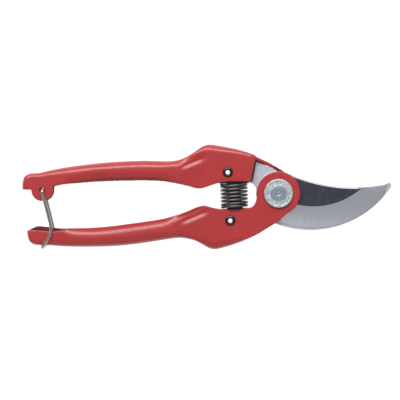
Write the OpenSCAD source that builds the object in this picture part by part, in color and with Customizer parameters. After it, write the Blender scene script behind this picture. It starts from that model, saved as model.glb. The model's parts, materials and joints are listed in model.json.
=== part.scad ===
// Bypass pruning shears with pressed-steel handles.
// The pivot axis is the Z axis. The blades point along +X and the grips along -X.
// The shears lie flat: z = 0 is the plane under the pivot nut and the latch wire.

/* [Handles] */
// Thickness of the pressed handle sheet
sheet = 1.8; // [1.6:0.1:1.8]
// Outer diameter of the handle eyes around the pivot
eye_d = 26; // [24:0.5:27]
// Radius of the latch lobes at the end of the upper handle
lobe_r = 6.4; // [5.5:0.1:6.8]
// Diameter of the latch holes in the lobes
latch_hole_d = 3; // [2.6:0.1:3.6]

/* [Blades] */
// Thickness of the cutting blade and of the counter blade
blade_t = 3; // [2.6:0.1:3.2]
// Gap between the two blades' facing sides
blade_gap = 0.1; // [0.05:0.05:0.2]
// Width of the conical grind behind the cutting edge
grind_w = 12.8; // [8:0.2:14]
// Thickness left at the cutting edge
edge_t = 0.25; // [0.15:0.05:0.5]

/* [Pivot] */
// Diameter of the pivot bolt's shank
bolt_d = 8; // [6:0.5:9]
// Running clearance on the radius between the bolt and the parts that turn on it
running = 0.06; // [0.03:0.01:0.1]
// Diameter of the round plate under the bolt's head
disc_d = 17; // [15:0.5:20]
// Thickness of that plate
disc_t = 1.8; // [1.4:0.1:2.2]
// Width across the flats of the pivot nut
nut_flats = 13; // [12:0.5:14]
// Thickness of the washer under the nut
washer_t = 0.9; // [0.6:0.1:1.2]

/* [Rivets] */
// Outer diameter of the tubular rivets' shanks
rivet_d = 4.6; // [4:0.1:5]
// Diameter of the hole through them
rivet_hole_d = 2.6; // [2.4:0.1:3.4]
// Diameter of their rolled heads
rivet_head_d = 6.2; // [6:0.1:7.5]

/* [Spring] */
// Mean diameter of the coils
coil_d = 15; // [14:0.5:15.5]
// Diameter of the spring wire
spring_wire_d = 1.4; // [1.1:0.1:1.4]
// Number of turns
coil_turns = 7; // [6:1:8]

/* [Latch] */
// Diameter of the latch wire
latch_wire_d = 2; // [1.6:0.1:2]
// Half the clear width between the latch's legs
latch_half_w = 6.9; // [6.9:0.1:7.2]

/* [Hidden] */

mid_z = latch_half_w + latch_wire_d;         // the plane between the two blades
inside = blade_t + blade_gap / 2;            // half the clear width inside the handles' heads
head_w = inside + sheet;                     // half the width of the heads
grip_w = 7.8;                                // half the width of the grips
tail_w = 6.5;                                // half the width of the grips' ends
embed = 0.02;                                // how far a plate stays inside the wall it joins
strip_root = 0.5;                            // how far the spine's strip runs into the eye's plate

upper_rivet_at = [-30.1, 12.5];
lower_rivet_at = [-28.6, -16.2];
latch_at = [-140.3, 1.8];                    // axis of the latch
spring_low = [-25.9, -8.75];                 // centre of the spring's seat on the lower handle
spring_high = [-26.5, 6.0];                  // centre of its seat on the upper handle

edge_c = [20.7, 35.9];                       // centre of the cutting edge's arc
edge_r = 56.5;
back_c = [45.3, 101.2];                      // centre of the blade's hollow back
back_r = 97.7;
grind_from = -111;                           // direction from edge_c in which the grind starts
hook_out_c = [19.2, 36.1];                   // centre of the counter blade's outer arc
hook_out_r = 58;
hook_in_c = [26.2, 36.7];                    // centre of its inner arc
hook_in_r = 49.23;
hook_tip = [65.8, 4.6];
hook_tip_r = 1.82;
blade_plate_r = 12.8;                        // round part of both blades at the pivot

fine = 96;                                   // $fn of round parts
cut = 60;                                    // long enough to cut right through

// Stations along each handle, from its tail to its head. Each is the spine's point, the walls'
// inner edge, half the width, the spine's corner radius, the lip's radius, how far the lip curls
// in degrees, and how much higher the rear wall's edge stands.
upper_stations = [
    [-152.2,   2.2, -146.8,  2.2, tail_w, 2.6, 3,  0, 0],
    [-152.1,   6.3, -146.4,  2.3, tail_w, 2.6, 3,  0, 0],
    [-150.9,  10.0, -145.6,  2.4, tail_w, 2.6, 3,  0, 0],
    [-147.4,  11.8, -144.2,  2.6, tail_w, 2.6, 3,  0, 0],
    [-142.4,  12.1, -141.0,  2.8, tail_w, 2.8, 3,  0, 0],
    [-136.6,  13.5, -135.6,  3.8, tail_w, 3.4, 3,  0, 0],
    [-130.0,  14.9, -129.0,  5.1, tail_w, 4.2, 3, 18, 0],
    [-122.7,  16.1, -121.8,  5.7, tail_w, 4.6, 3, 62, 0],
    [-108.4,  17.9, -107.7,  6.8, tail_w, 4.8, 3, 75, 0],
    [ -94.0,  19.0,  -93.7,  7.3, grip_w, 5.0, 3.2, 75, 0],
    [ -79.8,  19.5,  -80.0,  7.5, grip_w, 5.0, 3.2, 75, 0],
    [ -69.0,  19.2,  -69.6,  7.1, grip_w, 4.8, 3.2, 70, 0],
    [ -62.0,  19.4,  -63.0,  6.1, 7.4, 4.2, 3, 55, 0],
    [ -56.5,  20.9,  -58.0,  5.2, 6.7, 3.6, 3, 30, 0],
    [ -51.2,  23.9,  -53.0,  4.1, 5.9, 3.0, 3, 10, 0],
    [ -46.0,  27.5,  -48.3,  2.9, 5.2, 2.7, 3,  0, 0],
    [ -42.2,  29.1,  -44.0,  3.4, head_w, 2.6, 3,  0, 0],
    [ -38.2,  28.9,  -39.5,  5.0, head_w, 2.6, 3,  0, 0],
    [ -33.3,  28.1,  -34.5,  6.4, head_w, 2.6, 3,  0, 0],
    [ -26.2,  26.7,  -28.0,  6.85, head_w, 2.6, 3,  0, 0],
    [ -19.0,  24.7,  -21.2,  6.9, head_w, 2.6, 3,  0, 0],
    [ -13.4,  22.7,  -16.4,  6.9, head_w, 2.6, 3,  0, 0]];
lower_stations = [
    [-149.4, -21.9, -144.4, -21.9, tail_w, 2.6, 3,  0, 2.2],
    [-149.1, -25.2, -144.0, -22.0, tail_w, 2.6, 3,  0, 2.3],
    [-147.9, -28.6, -143.3, -22.0, tail_w, 2.6, 3,  0, 2.4],
    [-144.8, -30.5, -142.2, -22.1, tail_w, 2.6, 3,  0, 2.5],
    [-140.6, -30.8, -139.6, -22.3, tail_w, 2.8, 3,  0, 2.4],
    [-135.0, -31.0, -134.5, -22.5, tail_w, 3.4, 3,  0, 2.1],
    [-129.8, -31.4, -129.5, -22.1, tail_w, 4.0, 3, 15, 1.3],
    [-123.0, -31.7, -123.0, -20.8, tail_w, 4.4, 3, 60, 0.2],
    [-112.0, -31.8, -112.3, -20.4, tail_w, 4.8, 3, 75, 0],
    [ -98.0, -31.4,  -99.0, -19.3, grip_w, 5.0, 3.2, 75, 0],
    [ -87.0, -30.4,  -88.5, -17.9, grip_w, 5.0, 3.2, 75, 0],
    [ -76.0, -28.9,  -78.2, -16.5, grip_w, 5.0, 3.2, 75, 0],
    [ -66.0, -27.3,  -68.8, -15.0, grip_w, 4.6, 3.2, 70, 0],
    [ -59.5, -26.5,  -63.0, -13.4, 7.4, 4.2, 3, 55, 0],
    [ -54.6, -26.9,  -58.3, -12.0, 6.7, 3.6, 3, 30, 0],
    [ -49.8, -28.1,  -53.8, -10.4, 5.9, 3.0, 3, 10, 0],
    [ -45.2, -30.4,  -49.0,  -8.4, 5.2, 2.7, 3,  0, 0],
    [ -41.0, -32.7,  -44.2,  -7.3, head_w, 2.6, 3,  0, 0],
    [ -37.2, -33.3,  -39.5,  -8.4, head_w, 2.6, 3,  0, 0],
    [ -31.5, -32.0,  -33.5,  -9.4, head_w, 2.6, 3,  0, 0],
    [ -24.4, -29.7,  -26.0,  -9.2, head_w, 2.6, 3,  0, 0],
    [ -18.0, -27.1,  -20.0,  -8.8, head_w, 2.6, 3,  0, 0],
    [ -13.0, -24.7,  -16.4,  -8.5, head_w, 2.6, 3,  0, 0]];

// ---- Functions -------------------------------------------------------------

function unit(v) = v / norm(v);
function reversed(list) = [for (i = [len(list) - 1 : -1 : 0]) list[i]];
function lifted(p, z) = [p[0], p[1], z];

// A point on a smooth curve through b and c, with neighbours a and d.
function smooth_point(a, b, c, d, t) =
    0.5 * (2 * b + (c - a) * t + (2 * a - 5 * b + 4 * c - d) * t * t + (3 * b - a - 3 * c + d) * t * t * t);

// The rows of a list with n steps between each pair, on a smooth curve.
function smoothed(rows, n) = let (last = len(rows) - 1) concat(
    [for (i = [0 : last - 1]) for (k = [0 : n - 1])
        smooth_point(rows[max(i - 1, 0)], rows[i], rows[i + 1], rows[min(i + 2, last)], k / n)],
    [rows[last]]);

// Half a handle's section, from the spine to the lip, as [depth below the spine, half width].
// skin is 0 for the outer side and the sheet's thickness for the inner side.
corner_steps = 3;
lip_steps = 2;
lip_run = 1.4;                               // straight length shared out along the lip
function half_section(depth, w, corner_r, lip_r, curl, skin) = concat(
    [for (k = [0 : corner_steps]) let (a = 90 * k / corner_steps)
        [corner_r - (corner_r - skin) * cos(a), w - corner_r + (corner_r - skin) * sin(a)]],
    [for (k = [0 : lip_steps]) let (a = curl * k / lip_steps)
        [depth - lip_r * (sin(curl) - sin(a)) - lip_run * (1 - k / lip_steps) - skin * sin(a),
         w - lip_r * (1 - cos(a)) - skin * cos(a)]]);

// The closed outline of a handle's section at one station, as points in space.
function section(st) =
    let (spine = [st[0], st[1]],
         way = unit([st[2], st[3]] - spine),
         depth = norm([st[2], st[3]] - spine),
         outer = half_section(depth, st[4], st[5], st[6], st[7], 0),
         inner = half_section(depth, st[4], st[5], st[6], st[7], sheet),
         rise = [0, st[8] / depth])
    [for (q = concat([for (p = reversed(outer)) [p[0], p[1]]],
                     [for (p = outer) [p[0], -p[1]]],
                     [for (p = reversed(inner)) [p[0], -p[1]]],
                     [for (p = inner) [p[0], p[1]]]))
        lifted(spine + way * q[0] + rise * (q[1] < 0 ? q[0] : 0), mid_z + q[1])];

// Points of a path in space whose corners are rounded. Each row is a point and its corner's reach.
function rounded_path(rows, n) = let (last = len(rows) - 1) concat(
    [rows[0][0]],
    [for (i = [1 : last - 1])
        let (p = rows[i][0],
             a = p + unit(rows[i - 1][0] - p) * rows[i][1],
             b = p + unit(rows[i + 1][0] - p) * rows[i][1])
        for (k = [0 : n]) let (t = k / n)
            a * (1 - t) * (1 - t) + 2 * p * t * (1 - t) + b * t * t],
    [rows[last][0]]);

// Height of the spring's wire above its lower end, from 0 to 1, at turn t: closed at both ends.
function coil_rise(t) =
    let (span = norm(spring_high - spring_low) - spring_wire_d,
         open_pitch = (span - 2 * spring_wire_d) / (coil_turns - 2))
    t < 1 ? t * spring_wire_d
    : t > coil_turns - 1 ? span - (coil_turns - t) * spring_wire_d
    : spring_wire_d + (t - 1) * open_pitch;

coil_steps = 20;                             // points in each turn
function coil_path() =
    let (along = unit(spring_high - spring_low),
         across = [-along[1], along[0]])
    [for (i = [0 : coil_turns * coil_steps])
        let (t = i / coil_steps,
             c = spring_low + along * (spring_wire_d / 2 + coil_rise(t)),
             at = c + across * (coil_d / 2) * cos(360 * t))
        lifted(at, mid_z + coil_d / 2 * sin(360 * t))];

// ---- Shared shapes ---------------------------------------------------------

// A solid through a list of closed rings with the same number of points each. The first half of a
// ring's points lies opposite the second half, so each end is closed by a strip between the halves.
module skin(rings) {
    n = len(rings[0]);
    last = len(rings) - 1;
    sides = [for (i = [0 : last - 1]) for (k = [0 : n - 1])
        let (a = i * n + k, b = i * n + (k + 1) % n)
        each [[a, a + n, b], [b, a + n, b + n]]];
    strip = [for (k = [0 : n / 2 - 2]) [k, k + 1, n - 2 - k, n - 1 - k]];
    polyhedron(
        points = [for (ring = rings) each ring],
        faces = concat(strip, sides, [for (face = strip) [for (k = reversed(face)) last * n + k]]),
        convexity = 10);
}

// A round wire of radius r along a path in space.
module wire(path, r, sides) {
    last = len(path) - 1;
    tangents = [for (i = [0 : last]) unit(path[min(i + 1, last)] - path[max(i - 1, 0)])];
    first = unit(cross(tangents[0], abs(tangents[0][2]) < 0.9 ? [0, 0, 1] : [1, 0, 0]));
    across = [for (i = 0, u = first; i <= last;
                   i = i + 1, u = unit(u - tangents[min(i, last)] * (u * tangents[min(i, last)]))) u];
    skin([for (i = [0 : last])
        let (u = unit(across[i] - tangents[i] * (across[i] * tangents[i])), v = cross(tangents[i], u))
        [for (k = [0 : sides - 1]) path[i] + r * (cos(360 * k / sides) * u - sin(360 * k / sides) * v)]]);
}

// A plate from one height to another.
module plate(low, high) {
    translate([0, 0, low]) linear_extrude(high - low) children();
}

// A hole along Z.
module bore(at, d) {
    translate([at[0], at[1], -cut / 2]) cylinder(d = d, h = cut, $fn = fine);
}

module disc_at(at, r) {
    translate(at) circle(r = r, $fn = fine);
}

// ---- Handles ---------------------------------------------------------------

// One handle's sheet along its stations. The spine is above the walls on the upper handle and
// below them on the lower one, so one of the two is skinned from its head to keep faces outward.
module handle_channel(stations) {
    rings = [for (st = smoothed(stations, 2)) section(st)];
    spine_above = stations[0][1] > 0;
    skin(spine_above ? reversed(rings) : rings);
}

// The strip of spine that runs on from the head towards the eye. It joins the front wall on the
// lower handle and the rear wall on the upper one, and slopes down to that wall between two places.
module spine_strip(outline, joins_front, from, to) {
    side = joins_front ? 1 : -1;
    free_edge = mid_z - side * inside;
    wall = mid_z + side * inside;
    away = mid_z - side * cut;
    slope = [[from, free_edge], [to, wall], [to + cut, wall], [to + cut, away], [from, away]];
    difference() {
        plate(mid_z - (joins_front ? head_w : inside + strip_root),
              mid_z + (joins_front ? inside + strip_root : head_w)) polygon(outline);
        translate([0, cut, 0]) rotate([90, 0, 0]) linear_extrude(2 * cut)
            polygon(joins_front ? reversed(slope) : slope);
    }
}

// Front plate with the eye on the lower handle: its outline from the head to the pivot.
module lower_eye_outline() {
    disc_at([0, 0], eye_d / 2);
    polygon([[-20, -27.6], [-16, -26], [-12, -24.1], [-8.3, -21.8], [-1.1, -17.4], [11, -6.9], [0, 0],
             [-12.8, -2], [-13.2, -4.4], [-14.2, -6.6], [-15.8, -8.1], [-17.5, -8.7], [-20, -8.9]]);
}

// Rear plate with the eye on the upper handle.
module upper_eye_outline() {
    disc_at([0, 0], eye_d / 2);
    polygon([[-20, 24.8], [-15.4, 23.2], [-11.9, 21.3], [-4.7, 18], [2.4, 13.9], [7, 10.9], [0, 0],
             [-12.8, 2], [-13.4, 4.2], [-14.8, 6], [-17.3, 7.1], [-20, 7.1]]);
}

module lower_handle() {
    color("firebrick") difference() {
        union() {
            handle_channel(lower_stations);
            plate(mid_z + inside + embed, mid_z + head_w - embed) lower_eye_outline();
            spine_strip([[-16, -26], [-12, -24.1], [-8.3, -21.8], [-1.1, -17.4],
                         [-2.2, -15.8], [-9.4, -20], [-16.6, -23.9]], true, -14.5, -3.2);
        }
        bore([0, 0], bolt_d);
        bore(lower_rivet_at, rivet_d);
    }
}

module upper_handle() {
    color("firebrick") difference() {
        union() {
            handle_channel(upper_stations);
            plate(mid_z - head_w + embed, mid_z - inside - embed) upper_eye_outline();
            spine_strip([[-16, 23.4], [-16.5, 21], [-12.6, 19.5], [-5.4, 16.2], [1.2, 12.5],
                         [2.4, 13.9], [-4.7, 18], [-11.9, 21.3]], false, -13.4, 2.4);
            for (side = [0, 1])
                plate(mid_z + (side ? tail_w - sheet : -tail_w) + embed,
                      mid_z + (side ? tail_w : sheet - tail_w) - embed) latch_lobe_outline();
        }
        bore([0, 0], bolt_d + 2 * running);
        bore(upper_rivet_at, rivet_d);
        bore(latch_at, latch_hole_d);
    }
}

// A lobe that hangs below the tail's wall and carries the latch.
module latch_lobe_outline() {
    disc_at(latch_at, lobe_r);
    translate([latch_at[0] - lobe_r, latch_at[1]]) square([2 * lobe_r, 3.5]);
}

// ---- Blades ----------------------------------------------------------------

module cutting_blade_outline() {
    disc_at([0, 0], blade_plate_r);
    intersection() {
        difference() {
            disc_at(edge_c, edge_r, $fn = fine);
            disc_at(back_c, back_r, $fn = fine);
        }
        polygon([[5, 20], [5, 0], [-2, -30], [40, -30], [61.5, -4.2], [63.8, 0.6], [65, 5.7], [64, 20]]);
    }
    polygon([[0, 0], [-12.4, 0], [-13.2, -4.4], [-14.4, -7], [-16.4, -8.9], [-19, -9.7], [-33, -10.3],
             [-36, -12.5], [-36, -23], [-31, -27], [-18, -22.4], [-8, -18.2], [-1, -15.8]]);
}

// Everything above the conical grind, around the centre of the cutting edge's arc.
module grind_cutter() {
    past = 2;
    slope = (blade_t - edge_t) / grind_w;
    face = mid_z + inside;
    translate([edge_c[0], edge_c[1], 0]) rotate([0, 0, grind_from])
        rotate_extrude(angle = -grind_from, $fn = 2 * fine)
            polygon([[edge_r - grind_w - past, face + slope * past],
                     [edge_r + past, face - slope * (grind_w + past)],
                     [edge_r + past, face + slope * past]]);
}

module cutting_blade() {
    color("dimgray") difference() {
        plate(mid_z + blade_gap / 2, mid_z + inside) cutting_blade_outline();
        grind_cutter();
        bore([0, 0], bolt_d);
        bore(lower_rivet_at, rivet_d);
    }
}

module counter_blade_outline() {
    disc_at([0, 0], blade_plate_r);
    intersection() {
        difference() {
            disc_at(hook_out_c, hook_out_r);
            disc_at(hook_in_c, hook_in_r);
        }
        polygon([hook_in_c, [-4, 0], [-4, -40], [90, -40], 2 * hook_tip - hook_in_c]);
    }
    disc_at(hook_tip, hook_tip_r);
    polygon([[1, 12], [-3.4, 15.1], [-13.4, 19.2], [-20, 21.6], [-33, 24.4], [-38, 22], [-38, 10],
             [-36, 7.6], [-19, 7.2], [-17.4, 6.95], [-14.8, 5.6], [-13.3, 3.6], [-12.6, 0.6], [-12.2, -2],
             [-2.8, -15.8], [2, 3]]);
}

// The relief along the rear of the counter blade's outer edge.
module relief_cutter() {
    wide = 3.6;
    deep = 1.3;
    back = mid_z - inside;
    translate([hook_out_c[0], hook_out_c[1], 0]) rotate([0, 0, -108])
        rotate_extrude(angle = 80, $fn = 2 * fine)
            polygon([[hook_out_r - 2 * wide, back - deep], [hook_out_r + wide, back + 2 * deep],
                     [hook_out_r + wide, back - deep]]);
}

module counter_blade() {
    color("silver") difference() {
        plate(mid_z - inside, mid_z - blade_gap / 2) counter_blade_outline();
        relief_cutter();
        bore([0, 0], bolt_d + 2 * running);
        bore(upper_rivet_at, rivet_d);
    }
}

// ---- Pivot -----------------------------------------------------------------

bolt_head_r = 4.7;
bolt_head_t = 1.1;
bolt_chamfer = 0.3;
bolt_proud = 0.2;                            // how far the head stands above the plate
dimple_r = 1;                                // centre mark in the head
disc_low = mid_z + head_w;
disc_chamfer = 0.7;
washer_high = mid_z - head_w - 0.1;
nut_chamfer = 0.8;

module pivot_bolt() {
    r = bolt_d / 2;
    top = disc_low + disc_t;
    face = top + bolt_proud;
    color("gainsboro") rotate_extrude($fn = fine)
        polygon([[0, 0], [r - bolt_chamfer, 0], [r, bolt_chamfer], [r, top - bolt_head_t],
                 [bolt_head_r, top - bolt_head_t], [bolt_head_r, top], [bolt_head_r - bolt_chamfer, face],
                 [dimple_r, face], [dimple_r - bolt_chamfer, face - bolt_chamfer], [0, face - bolt_chamfer]]);
}

module pivot_disc() {
    r = disc_d / 2;
    color("gainsboro") translate([0, 0, disc_low]) rotate_extrude($fn = fine)
        polygon([[bolt_d / 2, 0], [r, 0], [r, disc_t - disc_chamfer], [r - disc_chamfer, disc_t],
                 [bolt_head_r, disc_t], [bolt_head_r, disc_t - bolt_head_t],
                 [bolt_d / 2, disc_t - bolt_head_t]]);
}

module pivot_washer() {
    color("gainsboro") translate([0, 0, washer_high - washer_t]) difference() {
        cylinder(d = disc_d - 1, h = washer_t, $fn = fine);
        translate([0, 0, -1]) cylinder(d = bolt_d, h = washer_t + 2, $fn = fine);
    }
}

module pivot_nut() {
    thick = washer_high - washer_t;
    corner_r = nut_flats / 2 / cos(30);
    color("gainsboro") difference() {
        intersection() {
            cylinder(r = corner_r, h = thick, $fn = 6);
            rotate_extrude($fn = fine)
                polygon([[0, 0], [corner_r - nut_chamfer, 0], [corner_r, nut_chamfer / 2], [corner_r, thick],
                         [0, thick]]);
        }
        bore([0, 0], bolt_d);
    }
}

// ---- Rivets and spring seats -------------------------------------------------

rivet_head_t = 0.8;
rivet_lip = 0.2;                             // rounding of the head towards the hole
rivet_edge = 0.4;                            // rounding of the head's outer edge

module tube_rivet(at) {
    hole_r = rivet_hole_d / 2;
    r = rivet_d / 2;
    head_r = rivet_head_d / 2;
    reach = head_w + rivet_head_t;
    front_half = [[r, head_w], [head_r, head_w], [head_r, reach - rivet_edge],
                  [head_r - rivet_edge, reach], [r, reach], [hole_r, reach - rivet_lip]];
    rear_half = [for (p = reversed(front_half)) [p[0], -p[1]]];
    color("black") translate([at[0], at[1], mid_z]) rotate_extrude($fn = fine)
        polygon(concat(rear_half, front_half));
}

module lower_rivet() {
    tube_rivet(lower_rivet_at);
}

module upper_rivet() {
    tube_rivet(upper_rivet_at);
}

// The lower seat fills the rear half of the channel, and its finger stands inside the spring.
module lower_spring_seat() {
    color("black") difference() {
        plate(mid_z - inside, mid_z + blade_gap / 2)
            polygon([[-35.4, -9.35], [-35.8, -19], [-33, -22.5], [-22, -21.5], [-17.6, -15], [-17.6, -8.6],
                     [-21.1, -8.5], [-22, -4.2], [-23, -3.5], [-28.5, -3.8], [-29.5, -4.6], [-30.3, -9.05]]);
        bore(lower_rivet_at, rivet_d);
    }
}

// The upper seat fills the front half of its channel. It stands a little proud of the walls, and
// its dark edge shows along the slanted end of the front wall.
module upper_spring_seat() {
    color("black") difference() {
        plate(mid_z - blade_gap / 2, mid_z + inside)
            polygon([[-37.2, 6.0], [-30.8, 6.0], [-29.9, 1.8], [-29, 1], [-23.4, 0.8], [-22.4, 1.6],
                     [-21.4, 6.0], [-18.2, 6.0], [-15.3, 7.3], [-13.1, 19.2], [-16.6, 20.6], [-34.5, 19],
                     [-37.2, 15.5]]);
        bore(upper_rivet_at, rivet_d);
    }
}

// ---- Spring and latch --------------------------------------------------------

module return_spring() {
    color("black") wire(coil_path(), spring_wire_d / 2, 8);
}

pin_past = 1.2;                              // how far the latch's pins reach past the lobes
module latch_wire() {
    leg_z = latch_half_w + latch_wire_d / 2;
    pin_z = tail_w - sheet - pin_past;
    knee = [-134.1, -22.5];
    bar = [-140.1, -32.1];
    color("silver") wire(rounded_path([
        [lifted(latch_at, mid_z + pin_z), 0],
        [lifted(latch_at, mid_z + leg_z), 1.5],
        [lifted(knee, mid_z + leg_z), 4],
        [lifted(bar, mid_z + leg_z), 2],
        [lifted(bar, mid_z - leg_z), 2],
        [lifted(knee, mid_z - leg_z), 4],
        [lifted(latch_at, mid_z - leg_z), 1.5],
        [lifted(latch_at, mid_z - pin_z), 0]], 4), latch_wire_d / 2, 12);
}

// ---- Nodes -------------------------------------------------------------------

lower_handle();
upper_handle();
cutting_blade();
counter_blade();
pivot_bolt();
pivot_disc();
pivot_washer();
pivot_nut();
lower_rivet();
upper_rivet();
lower_spring_seat();
upper_spring_seat();
return_spring();
latch_wire();
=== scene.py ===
"""Bypass pruning shears: the visual model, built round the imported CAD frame.

Lengths are in millimetres until a mesh is made, and MM turns them into metres. The pivot axis is
the Z axis, the blades point along +X, and the shears lie flat on the floor.
"""

import json
import math

import bmesh
import bpy
import numpy as np
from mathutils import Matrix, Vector


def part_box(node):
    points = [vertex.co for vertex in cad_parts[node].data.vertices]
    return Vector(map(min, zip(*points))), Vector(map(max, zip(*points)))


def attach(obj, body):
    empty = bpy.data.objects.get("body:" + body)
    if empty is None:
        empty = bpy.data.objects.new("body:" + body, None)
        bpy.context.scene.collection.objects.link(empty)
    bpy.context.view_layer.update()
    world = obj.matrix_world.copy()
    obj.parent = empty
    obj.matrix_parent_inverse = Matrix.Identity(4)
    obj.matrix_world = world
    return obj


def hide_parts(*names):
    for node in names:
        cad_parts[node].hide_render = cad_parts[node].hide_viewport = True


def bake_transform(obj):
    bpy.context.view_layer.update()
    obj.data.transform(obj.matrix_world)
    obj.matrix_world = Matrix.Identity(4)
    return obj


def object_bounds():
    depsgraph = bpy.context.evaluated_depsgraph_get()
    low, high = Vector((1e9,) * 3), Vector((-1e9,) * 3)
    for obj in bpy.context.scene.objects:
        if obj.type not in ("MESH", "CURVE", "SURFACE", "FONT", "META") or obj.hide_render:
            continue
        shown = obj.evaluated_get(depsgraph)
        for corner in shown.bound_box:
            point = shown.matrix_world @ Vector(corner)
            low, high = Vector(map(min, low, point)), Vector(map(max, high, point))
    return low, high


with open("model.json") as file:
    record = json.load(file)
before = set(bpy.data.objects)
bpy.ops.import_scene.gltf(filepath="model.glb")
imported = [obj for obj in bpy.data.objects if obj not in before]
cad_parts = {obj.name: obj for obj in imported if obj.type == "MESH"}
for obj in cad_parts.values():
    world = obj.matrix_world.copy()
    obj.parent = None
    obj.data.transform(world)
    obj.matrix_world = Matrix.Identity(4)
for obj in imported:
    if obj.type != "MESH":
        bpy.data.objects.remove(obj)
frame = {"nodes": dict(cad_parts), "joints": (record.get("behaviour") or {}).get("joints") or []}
cad_low, cad_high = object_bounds()
MM = 0.001


def node_box(node):
    """A CAD node's lowest and highest corners in millimetres."""
    low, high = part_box(node)
    return np.array(low) / MM, np.array(high) / MM


# ---- Sizes read from the frame ---------------------------------------------------------------

BLADE_LOW, BLADE_HIGH = (corner[2] for corner in node_box("cutting_blade"))
COUNTER_HIGH = node_box("counter_blade")[1][2]
DISC_LOW, DISC_HIGH = (corner[2] for corner in node_box("pivot_disc"))
DISC_R = node_box("pivot_disc")[1][0]
HEAD_R = node_box("pivot_bolt")[1][0]
MID_Z = (BLADE_LOW + COUNTER_HIGH) / 2
INSIDE = BLADE_HIGH - MID_Z
SHEET = DISC_LOW - BLADE_HIGH
HEAD_W = INSIDE + SHEET
GRIP_W = 7.8
TAIL_W = 6.5
EYE_R = 13.0
LOBE_R = 6.4
LATCH_HOLE_R = 1.5
SHANK_R = 4.0
SHANK_PLAY = 0.1
RIVET_SHANK_R = 2.3
# How much an added plate stays inside the sheet's faces, and a length beyond every shape.
INSET = 0.02
FAR = 60
LATCH_AT = np.array(frame["joints"][1]["pos_m"][:2]) / MM

# Stations along each handle, from its tail to its head: the spine's point, the walls' inner edge,
# half the width, the spine's corner radius, the lip's radius, the lip's curl in degrees, and how
# much higher the rear wall's edge stands.
UPPER_STATIONS = [
    (-152.2, 2.2, -146.8, 2.2, TAIL_W, 2.6, 3, 0, 0),
    (-152.1, 6.3, -146.4, 2.3, TAIL_W, 2.6, 3, 0, 0),
    (-150.9, 10.0, -145.6, 2.4, TAIL_W, 2.6, 3, 0, 0),
    (-147.4, 11.8, -144.2, 2.6, TAIL_W, 2.6, 3, 0, 0),
    (-142.4, 12.1, -141.0, 2.8, TAIL_W, 2.8, 3, 0, 0),
    (-136.6, 13.5, -135.6, 3.8, TAIL_W, 3.4, 3, 0, 0),
    (-130.0, 14.9, -129.0, 5.1, TAIL_W, 4.2, 3, 18, 0),
    (-122.7, 16.1, -121.8, 5.7, TAIL_W, 4.6, 4.0, 62, 0),
    (-108.4, 17.9, -107.7, 6.8, TAIL_W, 4.8, 4.2, 75, 0),
    (-94.0, 19.0, -93.7, 7.3, GRIP_W, 5.0, 4.4, 75, 0),
    (-79.8, 19.5, -80.0, 7.5, GRIP_W, 5.0, 4.4, 75, 0),
    (-69.0, 19.2, -69.6, 7.1, GRIP_W, 4.8, 4.4, 70, 0),
    (-62.0, 19.4, -63.0, 6.1, 7.4, 4.2, 4.2, 55, 0),
    (-56.5, 20.9, -58.0, 5.2, 6.7, 3.6, 3.6, 30, 0),
    (-51.2, 23.9, -53.0, 4.1, 5.9, 3.0, 3, 10, 0),
    (-46.0, 27.5, -48.3, 2.9, 5.2, 3.2, 3, 0, 0),
    (-42.2, 29.1, -44.0, 3.4, HEAD_W, 4.2, 3, 0, 0),
    (-38.2, 28.9, -39.5, 5.0, HEAD_W, 4.2, 3, 0, 0),
    (-33.3, 28.1, -34.5, 6.4, HEAD_W, 4.2, 3, 0, 0),
    (-26.2, 26.7, -28.0, 6.85, HEAD_W, 3.4, 3, 0, 0),
    (-19.0, 24.7, -21.2, 6.9, HEAD_W, 2.6, 3, 0, 0),
    (-13.4, 22.7, -16.4, 6.9, HEAD_W, 2.6, 3, 0, 0),
]
LOWER_STATIONS = [
    (-149.4, -21.9, -144.4, -21.9, TAIL_W, 2.6, 3, 0, 2.2),
    (-149.1, -25.2, -144.0, -22.0, TAIL_W, 2.6, 3, 0, 2.3),
    (-147.9, -28.6, -143.3, -22.0, TAIL_W, 2.6, 3, 0, 2.4),
    (-144.8, -30.5, -142.2, -22.1, TAIL_W, 2.6, 3, 0, 2.5),
    (-140.6, -30.8, -139.6, -22.3, TAIL_W, 2.8, 3, 0, 2.4),
    (-135.0, -31.0, -134.5, -22.5, TAIL_W, 3.4, 3, 0, 2.1),
    (-129.8, -31.4, -129.5, -22.1, TAIL_W, 4.0, 3, 15, 1.3),
    (-123.0, -31.7, -123.0, -20.8, TAIL_W, 4.4, 4.4, 60, 0.2),
    (-112.0, -31.8, -112.3, -20.4, TAIL_W, 4.8, 4.8, 75, 0),
    (-98.0, -31.4, -99.0, -19.3, GRIP_W, 5.0, 5.2, 75, 0),
    (-87.0, -30.4, -88.5, -17.9, GRIP_W, 5.0, 5.2, 75, 0),
    (-76.0, -28.9, -78.2, -16.5, GRIP_W, 5.0, 5.2, 75, 0),
    (-66.0, -27.3, -68.8, -15.0, GRIP_W, 4.6, 5.2, 70, 0),
    (-59.5, -26.5, -63.0, -13.4, 7.4, 4.2, 4.8, 55, 0),
    (-54.6, -26.9, -58.3, -12.0, 6.7, 3.6, 4.0, 30, 0),
    (-49.8, -28.1, -53.8, -10.4, 5.9, 3.0, 3, 10, 0),
    (-45.2, -30.4, -49.0, -8.4, 5.2, 3.2, 3, 0, 0),
    (-41.0, -32.7, -44.2, -7.3, HEAD_W, 4.2, 3, 0, 0),
    (-37.2, -33.3, -39.5, -8.4, HEAD_W, 4.2, 3, 0, 0),
    (-31.5, -32.0, -33.5, -9.4, HEAD_W, 4.2, 3, 0, 0),
    (-24.4, -29.7, -26.0, -9.2, HEAD_W, 3.4, 3, 0, 0),
    (-18.0, -27.1, -20.0, -8.8, HEAD_W, 2.6, 3, 0, 0),
    (-13.0, -24.7, -16.4, -8.5, HEAD_W, 2.6, 3, 0, 0),
]


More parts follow.
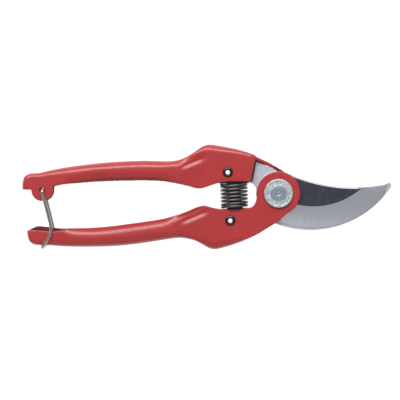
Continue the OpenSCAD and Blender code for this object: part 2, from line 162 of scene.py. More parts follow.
# ---- Mesh helpers ----------------------------------------------------------------------------


def mesh_object(name, points, faces, smooth=True):
    """A mesh object from points in millimetres."""
    mesh = bpy.data.meshes.new(name)
    mesh.from_pydata([tuple(float(c) * MM for c in p) for p in points], [], faces)
    mesh.validate()
    for polygon in mesh.polygons:
        polygon.use_smooth = smooth
    piece = bpy.data.objects.new(name, mesh)
    bpy.context.scene.collection.objects.link(piece)
    bm = bmesh.new()
    bm.from_mesh(mesh)
    bmesh.ops.recalc_face_normals(bm, faces=bm.faces)
    bm.to_mesh(mesh)
    bm.free()
    return piece


def apply_modifiers(piece):
    """Turns a piece's modifiers into mesh."""
    bpy.context.view_layer.update()
    evaluated = piece.evaluated_get(bpy.context.evaluated_depsgraph_get())
    mesh = bpy.data.meshes.new_from_object(evaluated)
    piece.modifiers.clear()
    old = piece.data
    piece.data = mesh
    bpy.data.meshes.remove(old)
    return piece


def join(pieces):
    """Puts several meshes into the first one."""
    bm = bmesh.new()
    for piece in pieces:
        bm.from_mesh(piece.data)
    bm.to_mesh(pieces[0].data)
    bm.free()
    for piece in pieces[1:]:
        bpy.data.objects.remove(piece)
    return pieces[0]


def cut(piece, cutters):
    """Cuts several closed shapes out of a piece."""
    for cutter in cutters:
        modifier = piece.modifiers.new("cut", "BOOLEAN")
        modifier.operation = "DIFFERENCE"
        modifier.solver = "EXACT"
        modifier.use_self = True
        modifier.object = cutter
    apply_modifiers(piece)
    for cutter in cutters:
        bpy.data.objects.remove(cutter)
    return piece


def fuse_and_soften(piece, voxel, rounds):
    """Makes one skin of overlapping closed shapes and rounds its edges a little."""
    remesh = piece.modifiers.new("fuse", "REMESH")
    remesh.mode = "VOXEL"
    remesh.voxel_size = voxel * MM
    remesh.use_smooth_shade = True
    smooth = piece.modifiers.new("soften", "SMOOTH")
    smooth.factor = 0.5
    smooth.iterations = rounds
    return apply_modifiers(piece)


def circle(centre, radius, count=96):
    """Points round a circle, counterclockwise."""
    turns = [2 * math.pi * i / count for i in range(count)]
    return [(centre[0] + radius * math.cos(a), centre[1] + radius * math.sin(a)) for a in turns]


def prism(name, first, last):
    """A closed shape between two rings with the same number of points."""
    n = len(first)
    ends = [tuple(range(n))[::-1], tuple(range(n, 2 * n))]
    sides = [(i, (i + 1) % n, (i + 1) % n + n, i + n) for i in range(n)]
    return mesh_object(name, first + last, ends + sides, smooth=False)


def plate(name, outline, low, high):
    """A flat plate from one height to another."""
    return prism(name, [(x, y, low) for x, y in outline], [(x, y, high) for x, y in outline])


def lathe(name, profile, centre=(0.0, 0.0), count=96):
    """A solid of revolution about Z from a closed profile of (radius, height)."""
    n = len(profile)
    points = []
    for i in range(count):
        c, s = math.cos(2 * math.pi * i / count), math.sin(2 * math.pi * i / count)
        points += [(centre[0] + r * c, centre[1] + r * s, z) for r, z in profile]
    faces = []
    for i in range(count):
        a, b = i * n, (i + 1) % count * n
        faces += [(a + k, b + k, b + (k + 1) % n, a + (k + 1) % n) for k in range(n)]
    return mesh_object(name, points, faces)


def rounded(profile, radius, steps=5):
    """A closed profile with its corners rounded, each by at most a third of its shorter side."""
    points = []
    n = len(profile)
    for i in range(n):
        p = np.array(profile[i], float)
        before, after = np.array(profile[i - 1], float) - p, np.array(profile[(i + 1) % n], float) - p
        reach = min(radius, np.linalg.norm(before) / 3, np.linalg.norm(after) / 3)
        a, b = p + before / np.linalg.norm(before) * reach, p + after / np.linalg.norm(after) * reach
        for k in range(steps + 1):
            t = k / steps
            points.append(tuple(a * (1 - t) ** 2 + 2 * p * t * (1 - t) + b * t**2))
    return points


# The rings of a wire's rounded end: how far each stands out and its radius, in wire radii.
END_RINGS = ((0.12, 0.97), (0.2, 0.8))


def tube(name, path, radius, sides):
    """A round wire along a path in space, with slightly rounded ends."""
    path = np.array(path, float)
    tangents = np.gradient(path, axis=0)
    tangents /= np.linalg.norm(tangents, axis=1)[:, None]
    across = np.cross(tangents[0], (0, 0, 1) if abs(tangents[0][2]) < 0.9 else (1, 0, 0))
    rings = []
    for p, t in zip(path, tangents):
        across = across - t * across.dot(t)
        across /= np.linalg.norm(across)
        rings.append((p, across.copy(), np.cross(t, across), t))

    def rounded_end(ring, side):
        """The extra rings past one end; side is -1 at the start and 1 at the end."""
        p, u, v, t = ring
        return [(p + t * radius * out * side, u, v, radius * size) for out, size in END_RINGS]

    shaped = rounded_end(rings[0], -1)[::-1]
    shaped += [(p, u, v, radius) for p, u, v, _ in rings]
    shaped += rounded_end(rings[-1], 1)
    turns = [2 * math.pi * k / sides for k in range(sides)]
    points = []
    for p, u, v, r in shaped:
        points += [p + r * (math.cos(a) * u + math.sin(a) * v) for a in turns]
    last = len(shaped) - 1
    faces = [tuple(range(sides))[::-1], tuple(last * sides + k for k in range(sides))]
    for i in range(last):
        a, b = i * sides, (i + 1) * sides
        faces += [(a + k, a + (k + 1) % sides, b + (k + 1) % sides, b + k) for k in range(sides)]
    return mesh_object(name, points, faces)


def corner_rounded_path(rows, steps=10):
    """Points of a path whose corners are rounded. Each row is a point and its corner's reach."""
    points = [np.array(p, float) for p, _ in rows]
    path = [points[0]]
    for i in range(1, len(rows) - 1):
        p = points[i]
        a = p + (points[i - 1] - p) / np.linalg.norm(points[i - 1] - p) * rows[i][1]
        b = p + (points[i + 1] - p) / np.linalg.norm(points[i + 1] - p) * rows[i][1]
        path += [a * (1 - t) ** 2 + 2 * p * t * (1 - t) + b * t**2 for t in np.linspace(0, 1, steps)]
    return path + [points[-1]]


def smoothed(rows, steps):
    """A table's rows with more between them, on a smooth curve through each."""
    rows = np.array(rows, float)
    last = len(rows) - 1
    result = []
    for i in range(last):
        a, b, c, d = rows[max(i - 1, 0)], rows[i], rows[i + 1], rows[min(i + 2, last)]
        for t in np.arange(steps) / steps:
            result.append(0.5 * (2 * b + (c - a) * t + (2 * a - 5 * b + 4 * c - d) * t**2
                                 + (3 * b - a - 3 * c + d) * t**3))
    return result + [rows[last]]


# ---- Materials -------------------------------------------------------------------------------


class Shader:
    """A material with a Principled shader, and short ways to add textures to it."""

    def __init__(self, name, colour, **sockets):
        self.material = bpy.data.materials.new(name)
        self.material.use_nodes = True
        self.tree = self.material.node_tree
        self.bsdf = self.tree.nodes["Principled BSDF"]
        self.bsdf.inputs["Base Color"].default_value = (*colour, 1)
        for socket, value in sockets.items():
            self.bsdf.inputs[socket.replace("_", " ")].default_value = value
        self.place = self.tree.nodes.new("ShaderNodeTexCoord").outputs["Object"]

    def link(self, output, socket):
        """Joins an output to a socket."""
        self.tree.links.new(output, socket)

    def stretched(self, scale, turn=0.0):
        """Object coordinates turned about Z and scaled along each axis."""
        mapping = self.tree.nodes.new("ShaderNodeMapping")
        mapping.inputs["Rotation"].default_value = (0, 0, turn)
        mapping.inputs["Scale"].default_value = scale
        self.link(self.place, mapping.inputs["Vector"])
        return mapping.outputs["Vector"]

    def round_centre(self, centre, around, outward):
        """Coordinates that run round a centre and outward from it, for marks that follow an arc."""
        nodes = self.tree.nodes
        offset = nodes.new("ShaderNodeVectorMath")
        offset.operation = "SUBTRACT"
        offset.inputs[1].default_value = (centre[0] * MM, centre[1] * MM, 0)
        self.link(self.place, offset.inputs[0])
        split = nodes.new("ShaderNodeSeparateXYZ")
        self.link(offset.outputs["Vector"], split.inputs["Vector"])
        angle = nodes.new("ShaderNodeMath")
        angle.operation = "ARCTAN2"
        self.link(split.outputs["Y"], angle.inputs[0])
        self.link(split.outputs["X"], angle.inputs[1])
        distance = nodes.new("ShaderNodeVectorMath")
        distance.operation = "LENGTH"
        self.link(offset.outputs["Vector"], distance.inputs[0])
        merged = nodes.new("ShaderNodeCombineXYZ")
        lengths = (angle.outputs[0], around, "X"), (distance.outputs["Value"], outward, "Y")
        for value, factor, socket in lengths:
            scale = nodes.new("ShaderNodeMath")
            scale.operation = "MULTIPLY"
            scale.inputs[1].default_value = factor
            self.link(value, scale.inputs[0])
            self.link(scale.outputs[0], merged.inputs[socket])
        return merged.outputs["Vector"]

    def noise(self, scale, detail, vector=None):
        """Smooth noise over the object, or over given coordinates."""
        node = self.tree.nodes.new("ShaderNodeTexNoise")
        node.inputs["Scale"].default_value = scale
        node.inputs["Detail"].default_value = detail
        self.link(vector or self.place, node.inputs["Vector"])
        return node.outputs["Fac"]

    def ramp(self, value, stops):
        """A colour or grey ramp over a value: stops are (position, colour or grey)."""
        node = self.tree.nodes.new("ShaderNodeValToRGB")
        elements = node.color_ramp.elements
        while len(elements) < len(stops):
            elements.new(0.5)
        for element, (position, colour) in zip(elements, stops):
            element.position = position
            element.color = (*colour, 1) if isinstance(colour, tuple) else (colour, colour, colour, 1)
        self.link(value, node.inputs["Fac"])
        return node.outputs["Color"]

    def bump(self, heights):
        """Adds bumps: heights are (value, height in millimetres)."""
        normal = None
        for value, height in heights:
            node = self.tree.nodes.new("ShaderNodeBump")
            node.inputs["Strength"].default_value = 1.0
            node.inputs["Distance"].default_value = height * MM
            self.link(value, node.inputs["Height"])
            if normal is not None:
                self.link(normal, node.inputs["Normal"])
            normal = node.outputs["Normal"]
        self.link(normal, self.bsdf.inputs["Normal"])
        return self

    def colour(self, value):
        """Drives the base colour."""
        self.link(value, self.bsdf.inputs["Base Color"])
        return self

    def roughness(self, value):
        """Drives the roughness."""
        self.link(value, self.bsdf.inputs["Roughness"])
        return self


def red_enamel():
    """Glossy stove enamel with faint orange peel and slightly uneven depth of colour."""
    s = Shader("red_enamel", (0.45, 0.024, 0.026), Roughness=0.42, Coat_Weight=0.45,
               Coat_Roughness=0.22)
    patches = s.noise(60, 3)
    s.colour(s.ramp(patches, [(0.3, (0.425, 0.022, 0.024)), (0.7, (0.475, 0.027, 0.028))]))
    s.roughness(s.ramp(s.noise(400, 3), [(0.3, 0.38), (0.7, 0.48)]))
    return s.bump([(s.noise(900, 2), 0.003), (s.noise(220, 1), 0.006)]).material


def painted_channel_shade():
    """Painted shade for the faces inside the channels: a dark, dull red with random patches."""
    s = Shader("painted_channel_shade", (0.16, 0.012, 0.014), Roughness=0.65)
    s.colour(s.ramp(s.noise(150, 3), [(0.3, (0.12, 0.009, 0.011)), (0.7, (0.2, 0.014, 0.016))]))
    return s.bump([(s.noise(700, 2), 0.01)]).material


def dark_blade():
    """Dark blued steel with the faint scratches of its rolling."""
    s = Shader("dark_blade", (0.05, 0.055, 0.07), Metallic=0.75, Roughness=0.45)
    streaks = s.noise(1, 4, s.stretched((2400, 90, 400), math.radians(80)))
    s.colour(s.ramp(s.noise(350, 4), [(0.3, (0.050, 0.053, 0.076)), (0.7, (0.078, 0.081, 0.112))]))
    s.roughness(s.ramp(streaks, [(0.3, 0.38), (0.7, 0.55)]))
    return s.bump([(streaks, 0.006), (s.noise(1500, 3), 0.006)]).material


def ground_steel(name, centre, colour, rough=0.36):
    """Steel ground across its edge, so the fine lines point at the centre of the edge's arc."""
    s = Shader(name, colour, Metallic=1.0, Roughness=rough)
    lines = s.noise(1, 3, s.round_centre(centre, 900, 40))
    shade = s.noise(1, 3, s.round_centre(centre, 25, 60))
    low, high = tuple(c * 0.99 for c in colour), tuple(min(c * 1.07, 1) for c in colour)
    s.colour(s.ramp(shade, [(0.3, low), (0.7, high)]))
    s.roughness(s.ramp(lines, [(0.25, rough - 0.03), (0.75, rough + 0.05)]))
    return s.bump([(lines, 0.0007)]).material


def zinc(name, dull, bright, metallic, grain):
    """Zinc plating: pale, faintly blue and cloudy between a dull and a bright shade."""
    s = Shader(name, bright, Metallic=metallic, Roughness=0.34)
    s.colour(s.ramp(s.noise(900, 4), [(0.3, dull), (0.7, bright)]))
    s.roughness(s.ramp(s.noise(900, 3), [(0.3, 0.26), (0.7, 0.44)]))
    return s.bump([(s.noise(1400, 3), grain)]).material


def black_steel(name, shade, rough):
    """Black oxide with a thin film of oil."""
    s = Shader(name, (shade, shade, shade * 1.05), Metallic=0.5, Roughness=rough, Coat_Weight=0.5,
               Coat_Roughness=0.15)
    s.roughness(s.ramp(s.noise(300, 2), [(0.3, rough - 0.04), (0.7, rough + 0.06)]))
    return s.bump([(s.noise(600, 2), 0.002)]).material


def spring_steel():
    """Black spring wire whose drawn surface still shines."""
    s = Shader("spring_steel", (0.145, 0.137, 0.143), Metallic=0.95, Roughness=0.33)
    s.roughness(s.ramp(s.noise(300, 2), [(0.3, 0.3), (0.7, 0.37)]))
    return s.bump([(s.noise(500, 2), 0.002)]).material


def bright_wire():
    """Bright nickel wire with faint drawing lines."""
    s = Shader("bright_wire", (0.5, 0.46, 0.43), Metallic=1.0, Roughness=0.16)
    s.roughness(s.ramp(s.noise(700, 3), [(0.3, 0.12), (0.7, 0.22)]))
    return s.bump([(s.noise(1800, 2), 0.003)]).material


def pale_floor():
    """A floor that glows almost white, so that it hides most shadows."""
    s = Shader("pale_floor", (0.3, 0.3, 0.3), Roughness=0.7)
    s.bsdf.inputs["Emission Color"].default_value = (1, 1, 1, 1)
    s.bsdf.inputs["Emission Strength"].default_value = 0.95
    return s.material


def paint(piece, *materials):
    """Gives a piece its materials, in the order of its faces' material numbers."""
    piece.data.materials.clear()
    for material in materials:
        piece.data.materials.append(material)
    return piece


# ---- Handles ---------------------------------------------------------------------------------

CORNER_STEPS = 8
LIP_STEPS = 6
LIP_RUN = 1.4
RINGS_PER_STATION = 10
SKIN_VOXEL = 0.28
SKIN_ROUNDS = 16
# A face is inside a channel when its normal's Z times its height over the middle plane is below this.
INNER_FACE = -1.0


def half_section(depth, width, corner_r, lip_r, curl, skin):
    """Half a handle's section, from spine to lip, as (depth below the spine, half width)."""
    curl = math.radians(curl)
    points = []
    for a in np.linspace(0, math.pi / 2, CORNER_STEPS + 1):
        r = corner_r - skin
        points.append((corner_r - r * math.cos(a), width - corner_r + r * math.sin(a)))
    for k in range(LIP_STEPS + 1):
        a = curl * k / LIP_STEPS
        run = LIP_RUN * (1 - k / LIP_STEPS)
        below = depth - lip_r * (math.sin(curl) - math.sin(a)) - run - skin * math.sin(a)
        points.append((below, width - lip_r * (1 - math.cos(a)) - skin * math.cos(a)))
    return points


def section(station):
    """The closed outline of a handle's section at one station, as points in space."""
    spine, inner = station[0:2], station[2:4]
    width, corner_r, lip_r, curl, rise = station[4:9]
    depth = np.linalg.norm(inner - spine)
    way = (inner - spine) / depth
    outer_half = half_section(depth, width, corner_r, lip_r, curl, 0)
    inner_half = half_section(depth, width, corner_r, lip_r, curl, SHEET)
    ring = [(q, z) for q, z in reversed(outer_half)] + [(q, -z) for q, z in outer_half]
    ring += [(q, -z) for q, z in reversed(inner_half)] + [(q, z) for q, z in inner_half]
    points = []
    for q, z in ring:
        x, y = spine + way * q
        points.append((x, y + (rise * q / depth if z < 0 else 0), MID_Z + z))
    return points


def channel(name, stations):
    """The bent sheet of a handle along its stations."""
    rings = [section(station) for station in smoothed(stations, RINGS_PER_STATION)]
    n = len(rings[0])
    points = [p for ring in rings for p in ring]
    faces = []
    for i in range(len(rings) - 1):
        a, b = i * n, (i + 1) * n
        faces += [(a + k, a + (k + 1) % n, b + (k + 1) % n, b + k) for k in range(n)]
    for base in (0, (len(rings) - 1) * n):
        faces += [(base + k, base + k + 1, base + n - 2 - k, base + n - 1 - k) for k in range(n // 2 - 1)]
    return mesh_object(name, points, faces)


def spine_strip(name, outline, low, high, slope):
    """The strip of spine that runs on towards the eye, with its top cut down along a slope."""
    strip = plate(name, outline, low, high)
    cutter = prism("slope", [(x, -FAR, z) for x, z in slope], [(x, FAR, z) for x, z in slope])
    return cut(strip, [cutter])


def bore(at, radius):
    """A cutter for a hole along Z."""
    return plate("bore", circle(at, radius, 48), -FAR, FAR)


def rivet_at(node):
    """The centre of a rivet, from its box."""
    low, high = node_box(node)
    return (low[:2] + high[:2]) / 2


# Two shallow valleys on each handle's faces, where the grip runs out into the head's flat. Each is
# given by its two ends.
VALLEYS = {
    "upper_handle": (((-60.7, 17.3), (-49.4, 21.9)), ((-57.4, 15.7), (-44.8, 21.0))),
    "lower_handle": (((-59.4, -14.5), (-44.8, -8.5)), ((-57.1, -16.8), (-42.8, -10.8))),
}
VALLEY_DEEP = 0.9
VALLEY_WIDE = 1.6
VALLEY_FADE = 0.3


def lower_handle(materials):
    """The lower handle, whose front wall runs on as the front eye."""
    wall_low, wall_high = BLADE_HIGH + INSET, DISC_LOW - INSET
    eye_web = [(-20, -27.6), (-16, -26), (-12, -24.1), (-8.3, -21.8), (-1.1, -17.4), (11, -6.9), (0, 0),
               (-12.8, -2), (-13.2, -4.4), (-14.2, -6.6), (-15.8, -8.1), (-17.5, -8.7), (-20, -8.9)]
    strip_outline = [(-16, -26), (-12, -24.1), (-8.3, -21.8), (-1.1, -17.4), (-2.2, -15.8),
                     (-9.4, -20), (-16.6, -23.9)]
    rear = MID_Z - INSIDE
    slope = [(-14.5, rear), (-3.2, BLADE_HIGH), (FAR, BLADE_HIGH), (FAR, -FAR), (-14.5, -FAR)]
    piece = join([
        channel("lower_handle_skin", LOWER_STATIONS),
        plate("eye", circle((0, 0), EYE_R), wall_low, wall_high),
        plate("web", eye_web, wall_low, wall_high),
        spine_strip("strip", strip_outline, MID_Z - HEAD_W, BLADE_HIGH + 0.6, slope),
    ])
    cut(piece, [bore((0, 0), SHANK_R), bore(rivet_at("lower_rivet"), RIVET_SHANK_R)])
    finish_handle(piece, "lower_lever", "lower_handle", materials)


def upper_handle(materials):
    """The upper handle, whose rear wall runs on as the rear eye, with the latch's two lobes."""
    wall_low, wall_high = MID_Z - HEAD_W + INSET, MID_Z - INSIDE - INSET
    eye_web = [(-20, 24.8), (-15.4, 23.2), (-11.9, 21.3), (-4.7, 18), (2.4, 13.9), (7, 10.9), (0, 0),
               (-12.8, 2), (-13.4, 4.2), (-14.8, 6), (-17.3, 7.1), (-20, 7.1)]
    strip_outline = [(-16, 23.4), (-11.9, 21.3), (-4.7, 18), (2.4, 13.9), (1.2, 12.5),
                     (-5.4, 16.2), (-12.6, 19.5), (-16.5, 21)]
    rear = MID_Z - INSIDE
    slope = [(-13.4, BLADE_HIGH), (2.4, rear), (FAR, rear), (FAR, FAR), (-13.4, FAR)]
    lobe_web = [(LATCH_AT[0] - LOBE_R, LATCH_AT[1]), (LATCH_AT[0] + LOBE_R, LATCH_AT[1]),
                (LATCH_AT[0] + LOBE_R, LATCH_AT[1] + 3.5), (LATCH_AT[0] - LOBE_R, LATCH_AT[1] + 3.5)]
    shapes = [
        channel("upper_handle_skin", UPPER_STATIONS),
        plate("eye", circle((0, 0), EYE_R), wall_low, wall_high),
        plate("web", eye_web, wall_low, wall_high),
        spine_strip("strip", strip_outline, MID_Z - INSIDE - 0.6, MID_Z + HEAD_W, slope),
    ]
    for low in (MID_Z - TAIL_W, MID_Z + TAIL_W - SHEET):
        for outline in (circle(LATCH_AT, LOBE_R), lobe_web):
            shapes.append(plate("lobe", outline, low + INSET, low + SHEET - INSET))
    piece = join(shapes)
    cut(piece, [bore((0, 0), SHANK_R + SHANK_PLAY), bore(rivet_at("upper_rivet"), RIVET_SHANK_R),
                bore(LATCH_AT, LATCH_HOLE_R)])
    finish_handle(piece, "upper_lever", "upper_handle", materials)


def press_valley(piece, start, end, deep, wide):
    """Presses a shallow valley into both faces of a handle along a line, towards the middle plane."""
    start, end = np.array(start), np.array(end)
    length = np.linalg.norm(end - start)
    way = (end - start) / length
    across = np.array((-way[1], way[0]))
    count = len(piece.data.vertices)
    points = np.empty(count * 3)
    piece.data.vertices.foreach_get("co", points)
    points = points.reshape(-1, 3) / MM
    offset = points[:, :2] - start
    along = offset @ way / length
    sideways = offset @ across / wide
    fade = np.clip(np.minimum(along + VALLEY_FADE, 1 + VALLEY_FADE - along) / (2 * VALLEY_FADE), 0, 1)
    fade = fade * fade * (3 - 2 * fade)
    share = np.clip((points[:, 2] - MID_Z) / HEAD_W, -1, 1)
    points[:, 2] -= share * deep * fade * np.exp(-sideways**2)
    piece.data.vertices.foreach_set("co", (points * MM).ravel())
    piece.data.update()


def finish_handle(piece, body, node, materials):
    """One enamelled skin over a handle's shapes, with painted shade on the faces inside its channels."""
    fuse_and_soften(piece, SKIN_VOXEL, SKIN_ROUNDS)
    for start, end in VALLEYS[node]:
        press_valley(piece, start, end, VALLEY_DEEP, VALLEY_WIDE)
    paint(piece, *materials)
    # Faces that look into a channel take the second material, a dark painted shade.
    for polygon in piece.data.polygons:
        faces_inward = polygon.normal.z * (polygon.center.z / MM - MID_Z) < INNER_FACE
        polygon.material_index = 1 if faces_inward else 0
    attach(piece, body)
    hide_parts(node)


# ---- Blades ----------------------------------------------------------------------------------

EDGE_CENTRE = (20.7, 35.9)
HOOK_CENTRE = (19.2, 36.1)
BACK_CENTRE = (45.3, 101.2)
BACK_R = 97.7
BACK_CHAMFER = 0.8
FINE_EDGE = 0.12
# Closer points are one point, flatter joins between faces are one face, and sharper edges are eased.
WELD = 0.002
FLAT_DEGREES = 0.4
SHARP_DEGREES = 35


def eased(node, body, small, large=0.0, on_large_edge=None):
    """A copy of a CAD node with its sharp edges eased, and the edges that pass a test cut wider."""
    bm = bmesh.new()
    bm.from_mesh(frame["nodes"][node].data)
    bmesh.ops.remove_doubles(bm, verts=bm.verts, dist=WELD * MM)
    bmesh.ops.dissolve_limit(bm, angle_limit=math.radians(FLAT_DEGREES), verts=bm.verts,
                               edges=bm.edges)
    widest = max(small, large)
    sharp = math.radians(SHARP_DEGREES)
    weight = bm.edges.layers.float.new("bevel_weight_edge")
    for edge in bm.edges:
        if edge.calc_face_angle(0) > sharp:
            wide = on_large_edge and all(on_large_edge(np.array(v.co) / MM) for v in edge.verts)
            edge[weight] = (large if wide else small) / widest
    mesh = bpy.data.meshes.new(node + "_eased")
    bm.to_mesh(mesh)
    bm.free()
    piece = bpy.data.objects.new(node + "_eased", mesh)
    bpy.context.scene.collection.objects.link(piece)
    bevel = piece.modifiers.new("edges", "BEVEL")
    bevel.width = widest * MM
    bevel.segments = 2
    bevel.limit_method = "WEIGHT"
    bevel.use_clamp_overlap = False
    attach(piece, body)
    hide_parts(node)
    return piece


def on_back_edge(point):
    """Whether a point lies on the upper edge of the cutting blade's hollow back."""
    reach = math.hypot(point[0] - BACK_CENTRE[0], point[1] - BACK_CENTRE[1])
    return abs(reach - BACK_R) < 0.05 and point[2] > BLADE_HIGH - 0.05


def cutting_blade(dark, ground, chamfer):
    """The dark blade, whose conical grind and cut sides are bright and its back chamfer duller, in ground
    steel darkened as painted shade.
    """
    piece = eased("cutting_blade", "lower_lever", FINE_EDGE, BACK_CHAMFER,
                  on_back_edge)
    piece.modifiers["edges"].material = 2
    paint(piece, dark, ground, chamfer)
    for polygon in piece.data.polygons:
        polygon.material_index = 0 if abs(polygon.normal.z) > 0.99 else 1


def counter_blade(satin):
    """The hook behind the cutting blade, with fine edges."""
    paint(eased("counter_blade", "upper_lever", FINE_EDGE), satin)


# ---- Pivot and rivets ------------------------------------------------------------------------


def pivot_disc(material):
    """The round plate at the pivot, with a raised rim and two rings of plain raised dashes."""
    inner = HEAD_R + 0.02
    low, high = DISC_LOW, DISC_HIGH
    rim_drop = 0.3
    seat = high - 1.1
    profile = [(SHANK_R, low), (DISC_R, low), (DISC_R, high - 0.35), (DISC_R - 0.45, high),
               (DISC_R - 0.9, high), (DISC_R - 1.05, high - rim_drop), (inner + 0.5, high - rim_drop),
               (inner + 0.35, high), (inner, high), (inner, seat), (SHANK_R, seat)]
    shapes = [lathe("pivot_disc_plate", rounded(profile, 0.12, 3))]
    for radius, count, shift in ((inner + 1.0, 22, 0), (inner + 2.0, 28, 0.5)):
        for i in range(count):
            a = 2 * math.pi * (i + shift) / count
            at = (radius * math.cos(a), radius * math.sin(a))
            shapes.append(dash(at, a, high - rim_drop - 0.05, high))
    piece = paint(join(shapes), material)
    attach(piece, "lower_lever")
    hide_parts("pivot_disc")


def pivot_bolt(material):
    """The pivot bolt: a flat head with a centre dot in a groove, and a thread at its other end."""
    low, high = node_box("pivot_bolt")
    bottom, top = low[2], high[2]
    head_t = 1.3
    pitch, thread_deep, thread_top = 1.0, 0.35, 3.6
    profile = [(0.0, bottom), (SHANK_R - 0.5, bottom)]
    height = bottom + 0.3
    while height < bottom + thread_top:
        profile += [(SHANK_R, height), (SHANK_R - thread_deep, height + pitch / 2)]
        height += pitch
    profile += [(SHANK_R, bottom + thread_top + pitch), (SHANK_R, top - head_t), (HEAD_R, top - head_t),
                (HEAD_R, top - 0.25), (HEAD_R - 0.3, top), (1.3, top), (1.05, top - 0.35), (0.75, top - 0.35),
                (0.6, top), (0.0, top)]
    piece = paint(lathe("pivot_bolt_turned", rounded(profile, 0.1, 2), count=64), material)
    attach(piece, "lower_lever")
    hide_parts("pivot_bolt")


def dash(at, turn, low, high, length=0.7, width=0.6):
    """A small raised dash with sloping sides, pointing outward."""
    rings = []
    for z, grow in ((low, 1.0), (high, 0.6)):
        ring = []
        for u, v in ((-1, -1), (1, -1), (1, 1), (-1, 1)):
            x, y = u * length / 2 * grow, v * width / 2 * grow
            ring.append((at[0] + x * math.cos(turn) - y * math.sin(turn),
                         at[1] + x * math.sin(turn) + y * math.cos(turn), z))
        rings.append(ring)
    return prism("dash", *rings)


def tube_rivet(node, body, material):
    """A tubular rivet with rolled heads."""
    low, high = node_box(node)
    centre = (low + high) / 2
    head_r = (high[0] - low[0]) / 2
    bore_r = 1.3
    reach = high[2] - centre[2]
    profile = []
    for side in (1, -1):
        lip = [(bore_r, HEAD_W - 1.0), (bore_r, HEAD_W), (bore_r + 0.15, reach - 0.25), (bore_r + 0.6, reach),
               (head_r - 0.7, reach - 0.05), (head_r - 0.2, reach - 0.3), (head_r, HEAD_W + 0.2),
               (head_r - 0.1, HEAD_W), (RIVET_SHANK_R, HEAD_W)]
        lip = [(r, centre[2] + side * z) for r, z in lip]
        profile += lip if side > 0 else lip[::-1]
    piece = lathe(node + "_rolled", rounded(profile, 0.3, 4), centre, 64)
    paint(piece, material)
    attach(piece, body)
    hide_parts(node)


# ---- Spring and latch ------------------------------------------------------------------------

SPRING_LOW = np.array((-25.9, -8.75))
SPRING_HIGH = np.array((-26.5, 6.4))
COIL_R = 7.5
SPRING_WIRE_R = 0.74
COIL_TURNS = 7
STEPS_PER_TURN = 60
LATCH_WIRE_R = 1.0
LATCH_PIN_PAST = 1.2


def return_spring(material):
    """A compression spring with a closed turn at each end."""
    reach = np.linalg.norm(SPRING_HIGH - SPRING_LOW)
    span = reach - 2 * SPRING_WIRE_R
    along = (SPRING_HIGH - SPRING_LOW) / reach
    across = np.array((-along[1], along[0]))
    closed = 2 * SPRING_WIRE_R
    path = []
    for t in np.linspace(0, COIL_TURNS, COIL_TURNS * STEPS_PER_TURN + 1):
        rise = np.interp(t, (0, 1, COIL_TURNS - 1, COIL_TURNS), (0, closed, span - closed, span))
        at = SPRING_LOW + along * (SPRING_WIRE_R + rise) + across * COIL_R * math.cos(2 * math.pi * t)
        path.append((at[0], at[1], MID_Z + COIL_R * math.sin(2 * math.pi * t)))
    piece = paint(tube("return_spring_coil", path, SPRING_WIRE_R, 18), material)
    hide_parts("return_spring")
    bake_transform(piece)


def latch_wire(material):
    """The latch, one wire bent round the lower handle's tail, hinged in the lobes."""
    leg = node_box("latch_wire")[1][2] - MID_Z - LATCH_WIRE_R
    pin = TAIL_W - SHEET - LATCH_PIN_PAST
    knee, bar = (-134.1, -22.5), (-140.1, -32.1)
    rows = [((*LATCH_AT, MID_Z + pin), 0), ((*LATCH_AT, MID_Z + leg), 1.5), ((*knee, MID_Z + leg), 4),
            ((*bar, MID_Z + leg), 2)]
    rows += [((x, y, 2 * MID_Z - z), reach) for (x, y, z), reach in reversed(rows)]
    piece = paint(tube("latch_wire_bent", corner_rounded_path(rows), LATCH_WIRE_R, 24), material)
    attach(piece, "latch")
    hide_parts("latch_wire")


# ---- Stage -----------------------------------------------------------------------------------


FLOOR_SIZE = 6
FLOOR_GAP = 0.2
CAMERA_DISTANCE = 1.15
# The picture's width over the shears' length, and how far its middle lies from theirs, in metres.
VIEW_SHARE = 1.085
VIEW_SHIFT = (-0.0043, -0.0019)


def floor(material):
    """A wide floor just below the shears, so that it doesn't share their lowest faces' plane."""
    bpy.ops.mesh.primitive_plane_add(size=FLOOR_SIZE, location=(0, 0, cad_low[2] - FLOOR_GAP * MM))
    piece = bpy.context.object
    piece.name = "floor"
    paint(piece, material)


def camera():
    """Straight above the shears, far enough away to flatten the perspective."""
    centre = (cad_low + cad_high) / 2
    data = bpy.data.cameras.new("camera")
    data.sensor_width = 36
    view_width = (cad_high[0] - cad_low[0]) * VIEW_SHARE
    data.lens = data.sensor_width * CAMERA_DISTANCE / view_width
    piece = bpy.data.objects.new("camera", data)
    piece.location = (centre[0] + VIEW_SHIFT[0], centre[1] + VIEW_SHIFT[1],
                      MID_Z * MM + CAMERA_DISTANCE)
    bpy.context.scene.collection.objects.link(piece)
    bpy.context.scene.camera = piece


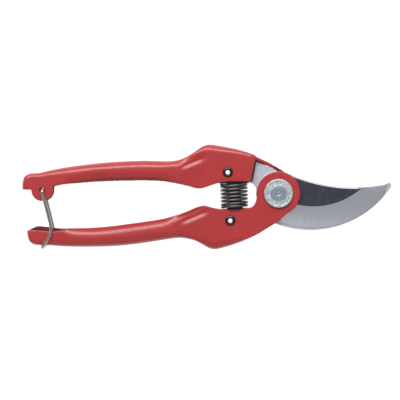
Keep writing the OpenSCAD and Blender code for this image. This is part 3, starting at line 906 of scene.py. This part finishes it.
def area_light(name, location, target, size, power):
    """A rectangular light that points at a target."""
    data = bpy.data.lights.new(name, "AREA")
    data.shape = "RECTANGLE"
    data.size, data.size_y = size
    data.energy = power
    piece = bpy.data.objects.new(name, data)
    piece.location = location
    piece.rotation_euler = (Vector(target) - Vector(location)).to_track_quat("-Z", "Y").to_euler()
    bpy.context.scene.collection.objects.link(piece)


def lights():
    """A grey surround, a broad softbox beyond the handles' ridges and a weak one on the near side."""
    world = bpy.data.worlds.new("studio")
    world.use_nodes = True
    world.node_tree.nodes["Background"].inputs["Color"].default_value = (0.95, 0.97, 1.0, 1)
    world.node_tree.nodes["Background"].inputs["Strength"].default_value = 0.36
    bpy.context.scene.world = world
    middle = (-0.045, 0, 0)
    area_light("far_softbox", (-0.2, 0.9, 1.0), middle, (1.4, 0.5), 18)
    area_light("near_fill", (-0.2, -0.9, 0.7), middle, (1.6, 0.5), 1.0)
    bpy.context.scene.view_settings.view_transform = "Standard"


# ---- The model -------------------------------------------------------------------------------


def build():
    """Makes the stage and then every piece."""
    enamel_and_shade = (red_enamel(), painted_channel_shade())
    zinc_plate = zinc("zinc", (0.50, 0.57, 0.64), (0.74, 0.80, 0.85), 0.85, 0.008)
    black = black_steel("black_steel", 0.014, 0.3)
    camera()
    lights()
    floor(pale_floor())
    lower_handle(enamel_and_shade)
    upper_handle(enamel_and_shade)
    # The back chamfer's ground steel has about half the edge's brightness: painted shade.
    cutting_blade(dark_blade(), ground_steel("ground_edge", EDGE_CENTRE, (0.73, 0.74, 0.79)),
                  ground_steel("back_chamfer_shaded", BACK_CENTRE, (0.36, 0.37, 0.40), 0.5))
    counter_blade(ground_steel("satin_steel", HOOK_CENTRE, (0.75, 0.77, 0.84), 0.42))
    pivot_disc(zinc("zinc_granular", (0.32, 0.38, 0.43), (0.88, 0.92, 0.95), 0.45, 0.03))
    pivot_bolt(zinc("zinc_dull", (0.36, 0.43, 0.50), (0.50, 0.57, 0.64), 0.85, 0.004))
    for node in ("pivot_washer", "pivot_nut"):
        paint(eased(node, "lower_lever", 0.15), zinc_plate)
    tube_rivet("lower_rivet", "lower_lever", black)
    tube_rivet("upper_rivet", "upper_lever", black)
    for node, body in (("lower_spring_seat", "lower_lever"), ("upper_spring_seat", "upper_lever")):
        paint(eased(node, body, 0.3), black)
    return_spring(spring_steel())
    latch_wire(bright_wire())


build()
